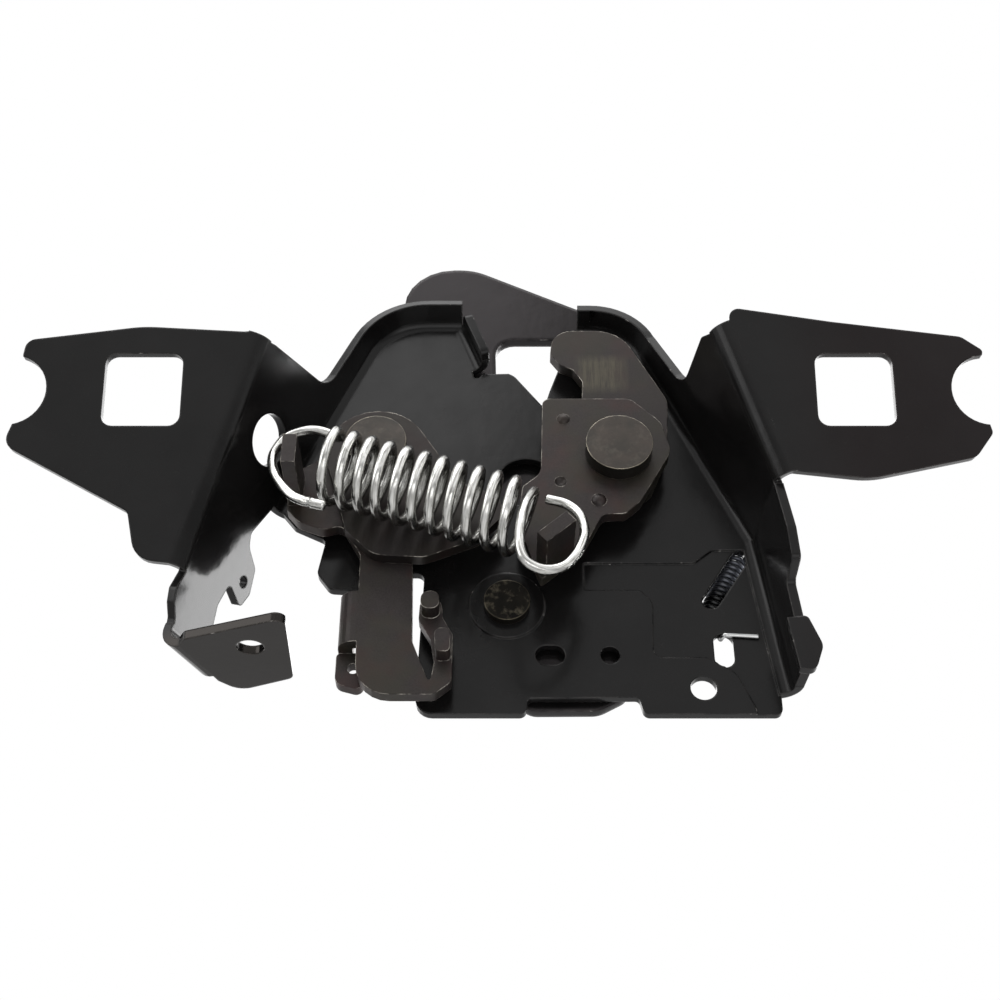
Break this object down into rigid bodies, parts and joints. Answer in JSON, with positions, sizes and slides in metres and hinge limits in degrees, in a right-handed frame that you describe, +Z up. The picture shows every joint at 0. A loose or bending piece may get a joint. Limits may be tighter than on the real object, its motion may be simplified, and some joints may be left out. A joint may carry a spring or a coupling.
{
  "type": "bonnet latch",
  "caption": "Stamped bonnet latch: winged mounting plate with a sprung catch, a cable release lever and a safety hook behind it, shown open and ready for the striker.",
  "frame": {"origin": "where the striker bar sits between slot and claw, on the front face of the plate", "axes": "+X to the right seen from the side with the spring, +Y from that side through the plate, +Z up, the way the striker leaves"},
  "size_m": [0.2062, 0.04, 0.1244],
  "materials": {
    "black_coat": "satin black coating",
    "phosphate": "dark oiled phosphate",
    "rivet_steel": "dark phosphate, lightly worn",
    "zinc": "bright zinc"
  },
  "bodies": {
    "base": {"lock_plate": "black_coat", "catch_rivet": "rivet_steel", "catch_washer": "zinc", "lever_rivet": "rivet_steel", "lever_washer": "zinc", "hook_rivet": "rivet_steel", "hook_washer": "zinc", "main_spring": "zinc", "return_spring": "zinc"},
    "catch": {"catch_claw": "phosphate", "catch_arm_plate": "phosphate"},
    "lever": {"pawl_plate": "phosphate", "release_lever": "phosphate"},
    "hook": {"safety_hook": "black_coat"}
  },
  "joints": [
    {"name": "catch_pivot", "type": "hinge", "parent": "base", "child": "catch", "pos_m": [0.0186, 0, -0.0315], "axis": [0, -1, 0], "range_deg": [0, 24], "stiffness_Nm_per_rad": 1.2, "springref_deg": -17.19, "deforming": ["main_spring"]},
    {"name": "lever_pivot", "type": "hinge", "parent": "base", "child": "lever", "pos_m": [-0.0342, 0, -0.031], "axis": [0, -1, 0], "range_deg": [-8, 0], "stiffness_Nm_per_rad": 0.6, "springref_deg": 17.19, "deforming": ["main_spring"]},
    {"name": "hook_pivot", "type": "hinge", "parent": "base", "child": "hook", "pos_m": [-0.0058, 0, -0.0651], "axis": [0, -1, 0], "range_deg": [0, 9], "stiffness_Nm_per_rad": 0.6, "springref_deg": -17.19, "deforming": ["return_spring"]}
  ]
}
